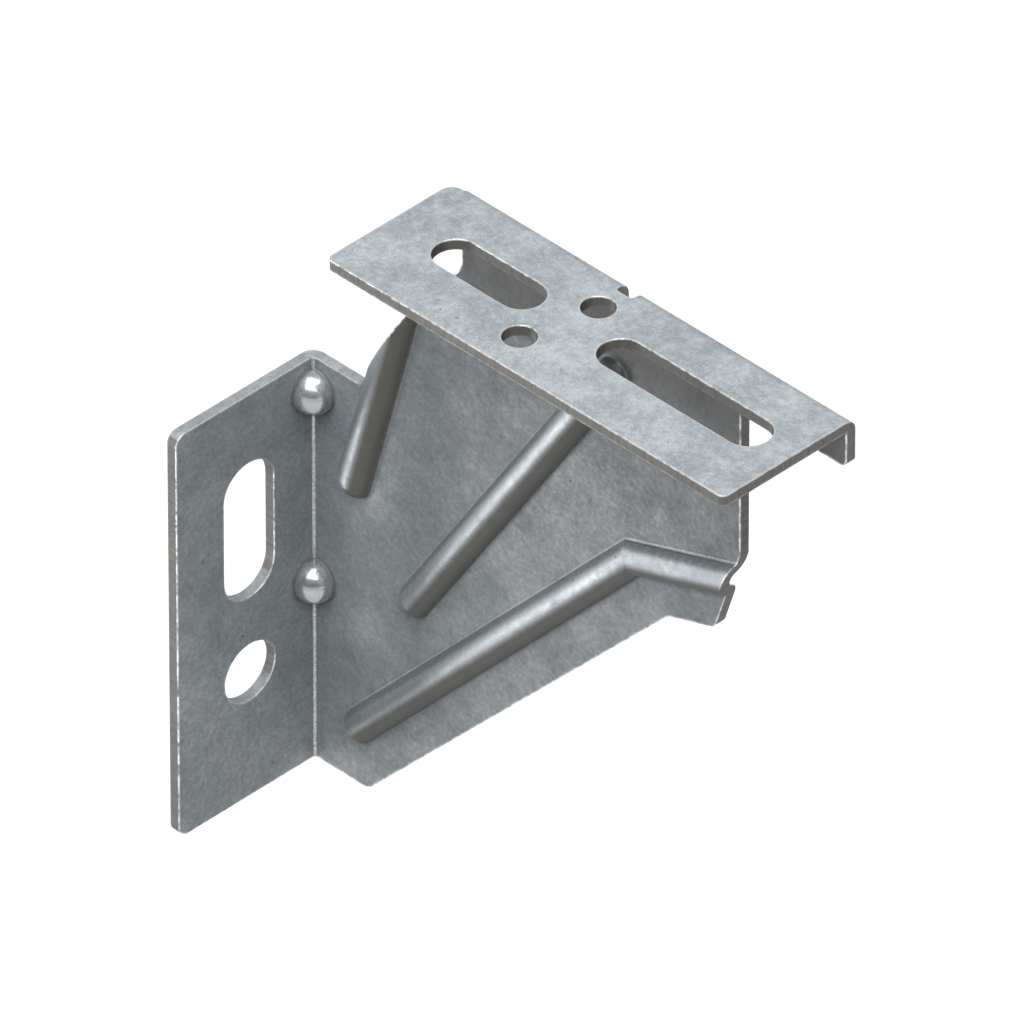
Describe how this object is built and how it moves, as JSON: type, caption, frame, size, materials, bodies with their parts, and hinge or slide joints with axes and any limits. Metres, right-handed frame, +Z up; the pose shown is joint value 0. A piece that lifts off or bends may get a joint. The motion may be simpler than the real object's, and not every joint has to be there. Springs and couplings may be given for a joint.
{
  "type": "mounting bracket",
  "caption": "Folded sheet-metal wall bracket: flange with a hole and a slot, a beaded web and a slotted top plate.",
  "frame": {"origin": "centre of the round fixing hole, on the face of the flange that lies on the wall", "axes": "+X out from the wall, +Z up, +Y along the wall towards the outer face of the web"},
  "size_m": [0.15, 0.0405, 0.163],
  "materials": {
    "galvanised_steel": "dull hot-dip galvanised steel, fine mottled grey"
  },
  "bodies": {
    "root": {"bracket": "galvanised_steel"}
  },
  "joints": []
}
